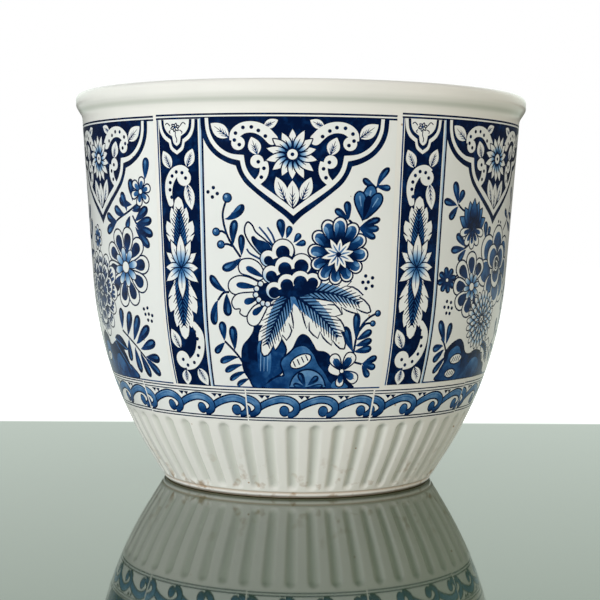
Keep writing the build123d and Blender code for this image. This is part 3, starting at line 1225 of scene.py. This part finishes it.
# Flowers of the second and the third panel
def coredFlower(s, x, y, petals, width, ring):
    heart = (x, y)
    for tip in petals:
        s.edged(leafOutline(*between(heart, tip, 0.1), *tip, width), white)
        core = leafOutline(*between(heart, tip, 0.3), *between(heart, tip, 0.84), width * 0.62)
        s.fill(core, fade(deep, navy, heart, tip))
    for k in range(8):
        a = 2 * pi * k / 8 + 0.2
        tip = polar(x, y, ring * 2.0, a)
        s.edged(leafOutline(x, y, *tip, ring * 1.15), fade(mid, white, between(heart, tip, 0.4), tip), 0.35)
    s.disc(x, y, ring * 0.62, white, fineLine)


def manyPetals(s, x, y, rings):
    for count, inner, outer, width, turn in rings:
        for k in range(count):
            a = 2 * pi * (k + turn) / count
            base = polar(x, y, inner, a)
            tip = polar(x, y, outer, a)
            s.edged(leafOutline(*base, *tip, width), fade(deep, white, base, between(base, tip, 0.8)), 0.42)
    s.disc(x, y, rings[-1][1] + 1.2, navy)
    for k in range(6):
        a = pi * k / 3
        s.disc(*polar(x, y, 1.3, a), 0.62, white)


def carnation(s, x, y, outer, rings):
    for share, count, turn in rings:
        for k in range(count):
            a = 2 * pi * (k + turn) / count
            reach = outer * share * (1 + 0.07 * sin(3 * a))
            tip = polar(x, y, reach, a)
            s.edged(leafOutline(x, y, *tip, 2.5 * pi * reach / count), white, 0.5)
            for side in (-0.26, 0.0, 0.26):
                b = a + side * 2 * pi / count
                line = [polar(x, y, reach * part, b) for part in (0.3, 0.86)]
                s.stroke(line, fade(navy, deep, (x, y), tip), 2.6, (1.5, 0.5))
    s.disc(x, y, outer * 0.16, navy)
    for k in range(5):
        a = 2 * pi * k / 5
        s.disc(*polar(x, y, outer * 0.09, a), 0.7, white)


def rose(s, x, y, petals, heart):
    for px, py, r in petals:
        s.disc(px, py, r, white, 0.66)
        a = atan2(py - y, px - x)
        wash = fade(navy, mid, (x, y), polar(px, py, r, a))
        s.disc(*polar(px, py, -r * 0.22, a), r * 0.76, wash)
    s.disc(x, y, heart, navy)
    for share, start in ((0.86, 0.4), (0.6, 2.2), (0.34, 4.4)):
        arc = [polar(x, y, heart * share, start + 0.9 * t) for t in range(5)]
        s.stroke(arc, white, 0.9, (0.5, 1.0))


def lotus(s, x, y, tips, width, cups):
    heart = (x, y)
    for tip in tips:
        petal = leafOutline(x, y, *tip, width, 0, "leaf")
        s.edged(petal, fade(navy, light, between(heart, tip, 0.35), tip), 0.5)
    for tip in cups:
        s.edged(leafOutline(x, y + 1, *tip, width), white, 0.5)
        s.fill(leafOutline(x, y + 1, *between(heart, tip, 0.7), width * 0.5), fade(navy, mid, heart, tip))


def blossom(s, x, y, reach, count, turn):
    heart = (x, y)
    for k in range(count):
        a = 2 * pi * k / count + turn
        tip = polar(x, y, reach, a)
        s.edged(leafOutline(x, y, *tip, reach * 0.86), white, 0.55)
        s.fill(leafOutline(x, y, *between(heart, tip, 0.72), reach * 0.46), fade(deep, mid, heart, tip))
    s.disc(x, y, reach * 0.2, white, fineLine)


def pillStone(s, x, y, half, turn):
    c, d = cos(turn), sin(turn)
    pill = [(x + half * cos(a) * c - half * 0.52 * sin(a) * d,
             y + half * cos(a) * d + half * 0.52 * sin(a) * c)
            for a in (2 * pi * k / 20 for k in range(20))]
    s.edged(pill, white, 0.5)
    for k in (-1.5, -0.5, 0.5, 1.5):
        cx, cy = x + k * half * 0.36 * c, y + k * half * 0.36 * d
        s.stroke([(cx + half * 0.1, cy + half * 0.26), (cx - half * 0.1, cy - half * 0.26)], navy, 0.6)


# Second panel
panelB = {
    "dots": (
        (-35.4, 98.2), (-32.4, 97.6), (-36.8, 95.4), (-34, 95.2), (-31.4, 94.8), (-35, 92.4), (-32.6, 92.2),
        (8.2, 137.4), (11.4, 137), (7, 135), (10, 134.8), (12.8, 134.4), (9, 132.6), (38.6, 117),
        (41, 115.6), (37.4, 114), (40, 112.6),
    ),
    "stems": (
        [(-24, 141), (-29, 143), (-32.4, 145.5)], [(-19, 128), (-24, 124.5), (-29, 123)],
        [(-30, 72), (-33, 77), (-36, 80)], [(-27, 112), (-31, 110), (-34, 109)],
        [(17, 133), (24, 139), (31, 147), (36, 151)], [(24, 104), (30, 100), (36, 98)],
        [(20, 72), (27, 77), (33, 84)],
    ),
    "berries": (),
    "leaves": (
        (-32.4, 145.5, -35.5, 156.4, 3.8), (-32, 145.5, -28.8, 152.4, 3.4), (-33, 145, -42.2, 147, 3.3),
        (-32.4, 144.6, -37.8, 138, 3.6), (-24, 124.6, -32, 131, 3.6), (-25, 124, -35.4, 123, 3.4),
        (-24, 123.6, -29.6, 118, 3.2), (-33, 77, -38.8, 89, 3.8), (-31.6, 76.6, -30.4, 87.6, 3.6),
        (-33.6, 76.4, -41, 74.6, 3.4), (-32.4, 74.6, -39.2, 68.4, 3.4), (-30, 71, -37.6, 62.6, 3.2),
        (-6.4, 128, -7.6, 137.4, 3.8), (-4.2, 128.6, -2.6, 135, 3), (24, 139, 17.4, 143.6, 3.2),
        (27, 142, 36, 139.6, 3.2), (31, 147, 28.4, 155.6, 3.2), (24, 138, 33.6, 133, 3.2),
        (30, 100, 38.6, 105, 3.2), (30, 100, 31, 91, 3.2), (34, 98.6, 42, 96, 3), (27, 77, 24.6, 87.6, 3.6),
        (30, 80, 38.6, 78.4, 3.2), (33, 84, 34, 93, 3.2), (33, 84, 41.4, 87, 3.2), (23, 74, 33.6, 70, 3.2),
        (22, 72, 29.6, 64.6, 3),
    ),
    "stones": ((-20.6, 69, 5.2, 0.1), (-23, 61.8, 4.6, 0.05)),
    "sprig": (-36.6, 108.6, 6.6),
}


def drawPanelB(s):
    drawGround(s, panelB)
    s.edgedBlob([
        (-31, 58.2), (-33, 63), (-30.6, 68), (-31.4, 72.6), (-27, 77), (-21, 79), (-17, 77), (-13, 72),
        (-8, 71), (-2, 72.6), (6, 71), (12, 66), (17, 64), (20, 60), (20.6, 58.2),
    ], fade(navy, deep, (-8, 78), (-8, 60)), 0.7)
    s.blob([(-29.6, 59), (-30.8, 64), (-28, 69), (-27.4, 73), (-22, 75.6), (-18, 73), (-15, 66), (-14, 59)],
           fade(deep, mid, (-22, 60), (-22, 76)))
    s.blob([(-8, 59), (-6, 66), (0, 68.6), (6, 66.4), (9, 59)], fade(deep, mid, (0, 60), (0, 68)))
    for stone in panelB["stones"]:
        pillStone(s, *stone)
    hatchLeaf(s, [
        (4, 76), (9, 78.6), (11, 76.6), (15, 78), (18.6, 74.6), (16.6, 73), (20.6, 70.6), (21.6, 64),
        (17, 66), (13.6, 68.4), (12, 66.6), (9, 70), (6, 70.4),
    ], [(4.6, 75), (11, 73.4), (20, 66)], 3.6)
    lotus(s, -19.6, 132.6, (
        (-30.6, 139.4), (-8.6, 139), (-27.2, 144), (-12, 144), (-23.4, 147), (-15.6, 147), (-19.6, 148.6),
    ), 6.4, ((-29.6, 131), (-9.6, 131), (-25, 125.4), (-14.2, 125.4), (-19.6, 123.4)))
    x, y, reach = panelB["sprig"]
    for k in range(8):
        a = pi * k / 4 + 0.2
        brushLeaf(s, x, y, *polar(x, y, reach, a), 3)
    s.disc(x, y, 1.2, white, fineLine)
    rose(s, 10, 115.6, (
        (-2.6, 123.4, 7.6), (21.6, 122.6, 7.8), (9.6, 128, 7.8), (25, 112, 7.4), (-5, 111.6, 7),
        (20, 103.4, 7.6), (3, 103.6, 7.2), (11.6, 101, 7.2), (3.6, 119.8, 6.4), (16.6, 119.4, 6.6),
        (10, 110, 6.6),
    ), 5)
    coredFlower(s, -16.6, 105, (
        (-8.4, 118.6), (-19, 122.6), (-29.4, 117), (-32, 105.6), (-28.6, 95), (-19.6, 89.6), (-9, 92),
    ), 13, 3.6)
    manyPetals(s, -2, 88, ((22, 7, 15.2, 4.4, 0.0), (18, 4.4, 11.4, 3.8, 0.5), (12, 2, 7.4, 3, 0.0)))


# Third panel
panelC = {
    "dots": (
        (34.6, 94.4), (37.4, 95), (35.4, 91.8), (38, 92), (40.4, 91.4), (37, 89), (39.6, 88.6), (-37, 111),
        (-34, 110.4), (-38.4, 108.4), (-35.6, 107.8), (-33, 107.4), (-36.6, 105.4), (-39, 152),
        (-37.4, 149.6), (-41, 149),
    ),
    "stems": (
        [(35, 146), (27, 142), (16, 137.5), (6, 131)], [(30, 140), (33, 136), (36, 135)],
        [(12, 82.7), (18, 79), (24, 74.8), (33, 66.8)], [(-20, 120), (-26, 128), (-31, 138), (-33, 146)],
        [(-27, 84), (-32, 88), (-37, 90)], [(-24, 70), (-30, 72), (-36, 76)],
    ),
    "berries": (),
    "leaves": (
        (40.6, 157, 42, 168, 4), (31, 147, 29.6, 158, 4.2), (30, 145.6, 19.6, 148.6, 4, 0.1),
        (26, 142, 21.6, 151.6, 3.8), (24, 140.4, 14.6, 144.6, 4, 0.1), (16, 137.4, 5.6, 141, 4, 0.1),
        (15.6, 137, 4.6, 131.6, 4.2), (30, 142, 36.6, 144.6, 3.6), (31.6, 137, 41.4, 144, 4.2),
        (32, 135.6, 44, 138, 4), (32, 135, 44.4, 130.6, 4.2), (31.4, 134.4, 41.6, 124.6, 4),
        (28, 140, 24.6, 133.6, 3.4), (12, 83, 14, 94, 4.4), (17, 80, 22.6, 92.6, 4.6),
        (22, 77.6, 29.6, 91, 4.6), (24, 76, 37, 86, 4.4), (27, 73.6, 40, 78.4, 4.2),
        (30, 70, 41.4, 70, 4.2), (29, 70, 39.6, 61.6, 4.2), (25.6, 72.6, 30.6, 60, 4.4),
        (21.6, 75, 22.6, 61.6, 4.4), (17, 78.6, 14.6, 67, 4.2), (-26, 128, -36, 131.6, 4),
        (-25.6, 127.6, -22, 138.6, 4.2), (-30, 136, -25, 146, 4), (-31, 139, -41, 142.6, 4),
        (-33, 146, -35.6, 156.6, 4), (-22, 122, -33, 119.6, 4.2), (-32, 88, -33.6, 99.4, 4.2),
        (-32, 88, -41, 96, 4), (-34, 89, -42, 85.6, 3.8), (-30, 72, -32.6, 83.6, 4.2),
        (-31, 72.4, -41.4, 72, 4), (-27, 70.6, -38, 63.6, 4), (-25, 69, -32, 59.6, 3.8),
    ),
    "rockLeaves": ((0, 78, 14, 72.6, 7), (-1, 76.6, 12.6, 62.6, 6.4)),
    "cored": (21.9, 114.6),
    "coredReach": (19, 20.4),
}


def drawPanelC(s):
    drawGround(s, panelC)
    s.edgedBlob([
        (-28, 58.2), (-30, 64), (-26, 70), (-25, 76), (-19, 80), (-12, 79), (-8, 74), (0, 76), (7, 73),
        (9, 67), (15, 64), (17, 58.2),
    ], fade(navy, deep, (-10, 78), (-10, 60)), 0.7)
    s.blob([(-24, 59), (-25.6, 64), (-21.6, 70), (-18, 75), (-13, 74), (-11.6, 66), (-12.6, 59)],
           fade(deep, mid, (-20, 60), (-18, 75)))
    s.blob([(-7, 59), (-5, 66), (0, 70), (5, 67), (8, 60)], fade(deep, mid, (0, 60), (0, 70)))
    pillStone(s, -18, 67.6, 4.8, 0.3)
    for x0, y0, x1, y1, width in panelC["rockLeaves"]:
        s.fill(leafOutline(x0, y0, x1, y1, width, 0.06, "leaf"), navy)
        s.stroke([(x0, y0), (x1, y1)], mid, 0.8, (0.5, 1.0))
    blossom(s, 37, 151.6, 7.4, 6, 0.3)
    x, y = panelC["cored"]
    reachX, reachY = panelC["coredReach"]
    turns = [2 * pi * k / 10 + 0.1 for k in range(10)]
    coredFlower(s, x, y, [(x + reachX * cos(a), y + reachY * sin(a)) for a in turns], 13.4, 5)
    blossom(s, -10.6, 128.6, 7, 7, 0.5)
    carnation(s, -10, 101.6, 22, ((1.0, 13, 0.0), (0.74, 10, 0.4), (0.46, 7, 0.1)))

# Prints: flat drawings wrapped on the wall
printSettings = {
    "lift": 0.06,
    "depth": 0.42,
    "grid": 3.2,
    "weld": 0.002,
    "panelScale": 1.963,
    "panelStart": -36.4,
    "panelLay": ((0.0, 0.0), (0.5, 1.3), (0.2, 0.6), (-0.1, -0.3), (0.2, 0.4), (-0.1, -0.35)),
    "panelPitch": 60,
    "borderCount": 10,
    "borderPitch": 36,
    "borderSpan": 35.6,
    "borderStart": -14.4,
    "borderLay": ((0.0, 0.0), (0.1, -0.15), (0.0, 0.15), (-0.1, 0.1), (0.0, -0.1)),
    "inks": (
        (0.0, (0.79, 0.79, 0.755)), (0.22, (0.40, 0.55, 0.71)), (0.4, (0.155, 0.315, 0.53)),
        (0.58, (0.030, 0.125, 0.31)), (0.8, (0.003, 0.034, 0.135)), (1.0, (0.0005, 0.006, 0.036)),
    ),
    "wash": 0.3,
    "washNoise": {"Scale": 190.0, "Detail": 4.0, "Roughness": 0.6},
    "washGain": 1.6,
    "coverGain": 9.0,
    "coolWhite": (0.97, 1.0, 1.03),
    "smoothAngle": 40,
    "uvMargin": 0.02,
    "uvSpan": 0.94,
}


def printMaterial(name, settings, group):
    material, tree, glazeColour, base = glazed(name, glazeSettings, group)
    ink = attribute(tree, "ink")
    wash = noise(tree, objectPlace(tree), **settings["washNoise"])
    drift = mathNode(tree, "MULTIPLY", mathNode(tree, "SUBTRACT", wash, 0.5), 2 * settings["wash"])
    room = mathNode(tree, "MULTIPLY", mathNode(tree, "MULTIPLY", ink, settings["washGain"], True), drift)
    tone = mathNode(tree, "ADD", ink, room, True)
    cover = mathNode(tree, "MULTIPLY", ink, settings["coverGain"], True)
    cool = blend(tree, 1.0, glazeColour, settings["coolWhite"], "MULTIPLY")
    tree.links.new(blend(tree, cover, cool, ramp(tree, settings["inks"], tone)), base)
    return material


def inkAt(ink, x, y):
    if isinstance(ink, (int, float)):
        return ink
    a, b, x0, y0, x1, y1 = ink
    dx, dy = x1 - x0, y1 - y0
    t = ((x - x0) * dx + (y - y0) * dy) / (dx * dx + dy * dy)
    return a + (b - a) * min(max(t, 0.0), 1.0)


def insideOutline(outline, px, py):
    turns = np.zeros(len(px), dtype=int)
    for i, (x1, y1) in enumerate(outline):
        x0, y0 = outline[i - 1]
        side = (x1 - x0) * (py - y0) - (px - x0) * (y1 - y0)
        turns += ((y0 <= py) & (y1 > py) & (side > 0)).astype(int)
        turns -= ((y0 > py) & (y1 <= py) & (side < 0)).astype(int)
    return turns != 0


def cutSheet(sheet, place, settings):
    left, right, low, high = (place[key] for key in ("left", "right", "low", "high"))
    grid = settings["grid"]
    points, edges = [], []

    def add(outline):
        start = len(points)
        for i, (x, y) in enumerate(outline):
            px, py = outline[i - 1]
            parts = max(1, ceil(hypot(x - px, y - py) / grid))
            for k in range(1, parts + 1):
                cutX = min(max(px + (x - px) * k / parts, left), right)
                cutY = min(max(py + (y - py) * k / parts, low), high)
                points.append((cutX, cutY))
        count = len(points) - start
        edges.extend((start + k, start + (k + 1) % count) for k in range(count))

    add([(left, low), (right, low), (right, high), (left, high)])
    for outline, _ in sheet.shapes:
        add(outline)
    across, up = ceil((right - left) / grid), ceil((high - low) / grid)
    points.extend((left + (right - left) * i / across, low + (high - low) * k / up)
                  for i in range(across + 1) for k in range(up + 1))
    verts, _, triangles, _, _, _ = delaunay_2d_cdt(points, edges, [], 0, settings["weld"], False)
    flat = np.array([tuple(v) for v in verts])
    corners = flat[np.array(triangles)]
    spread = corners[:, 1:] - corners[:, :1]
    area = spread[:, 0, 0] * spread[:, 1, 1] - spread[:, 0, 1] * spread[:, 1, 0]
    triangles = [t if a > 0 else t[::-1] for t, a in zip(triangles, area)]
    middleX, middleY = corners.mean(axis=1).T
    owner = np.full(len(triangles), -1)
    for index, (outline, _) in enumerate(sheet.shapes):
        xs, ys = zip(*outline)
        near = (middleX > min(xs)) & (middleX < max(xs)) & (middleY > min(ys)) & (middleY < max(ys))
        near = np.nonzero(near)[0]
        owner[near[insideOutline(outline, middleX[near], middleY[near])]] = index
    inks = [ink for _, ink in sheet.shapes] + [white]
    return flat, [(t, inks[own]) for t, own in zip(triangles, owner)]


def wrapSheet(name, cut, startAngle, rise, scale, origin, settings, material, node):
    verts, kept = cut
    count = len(verts)
    places = []
    for inset in (-settings["lift"], settings["depth"]):
        for x, y in verts:
            angle = radians(startAngle + (x - origin) / scale)
            r = wallRadius(y + rise) - inset
            places.append((r * sin(angle) / perMetre, -r * cos(angle) / perMetre, (y + rise) / perMetre))
    front = [tuple(t) for t, _ in kept]
    sides = {(t[k], t[k - 2]) for t in front for k in range(3)}
    rim = [(a, b) for a, b in sides if (b, a) not in sides]
    faces = front + [tuple(count + v for v in t[::-1]) for t in front]
    faces += [(b, a, a + count, b + count) for a, b in rim]
    mesh = bpy.data.meshes.new(name)
    mesh.from_pydata(places, [], faces)
    ink = mesh.attributes.new("ink", "FLOAT", "CORNER")
    flat = mesh.uv_layers.new(name="OFBake")
    margin, span = settings["uvMargin"], settings["uvSpan"]
    low = verts[:, 1].min()
    size = max(np.ptp(verts[:, 0]), np.ptp(verts[:, 1]))
    tones = [tone for _, tone in kept]
    for polygon in mesh.polygons:
        tone = tones[polygon.index % len(tones)] if polygon.index < 2 * len(tones) else white
        for loop in polygon.loop_indices:
            x, y = verts[mesh.loops[loop].vertex_index % count]
            ink.data[loop].value = inkAt(tone, x, y)
            flat.data[loop].uv = (margin + span * (x - origin) / size, margin + span * (y - low) / size)
    piece = bpy.data.objects.new(name, mesh)
    bpy.context.collection.objects.link(piece)
    active(piece)
    bpy.ops.object.shade_smooth_by_angle(angle=radians(settings["smoothAngle"]))
    mesh.materials.append(material)
    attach(piece, "root")
    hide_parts(node)


def addPrints(settings, group):
    panelInk = printMaterial("panelInk", settings, group)
    borderInk = printMaterial("borderInk", settings, group)
    cuts = []
    for draw in (drawPanelA, drawPanelB, drawPanelC):
        sheet = Sheet()
        draw(sheet)
        cuts.append(cutSheet(sheet, sheetFrame, settings))
        print("sheet drawn:", len(sheet.shapes), "shapes,", len(cuts[-1][1]), "triangles")
    for index, (turn, rise) in enumerate(settings["panelLay"]):
        angle = settings["panelStart"] + settings["panelPitch"] * index + turn
        wrapSheet(f"panelPrint{index + 1}", cuts[index % len(cuts)], angle, rise, settings["panelScale"],
                  sheetFrame["left"], settings, panelInk, f"panel_print_{index + 1}")
    strip = Sheet()
    drawBorder(strip, borderFrame)
    cut = cutSheet(strip, borderFrame, settings)
    print("border drawn:", len(strip.shapes), "shapes,", len(cut[1]), "triangles")
    scale = borderFrame["right"] / settings["borderSpan"]
    for index in range(settings["borderCount"]):
        turn, rise = settings["borderLay"][index % len(settings["borderLay"])]
        angle = settings["borderStart"] + settings["borderPitch"] * index + turn
        wrapSheet(f"borderPrint{index + 1}", cut, angle, rise, scale,
                  borderFrame["left"], settings, borderInk, f"border_print_{index + 1}")


addPrints(printSettings, glazeNodes)
print("prints: 6 panels and 10 border strips")
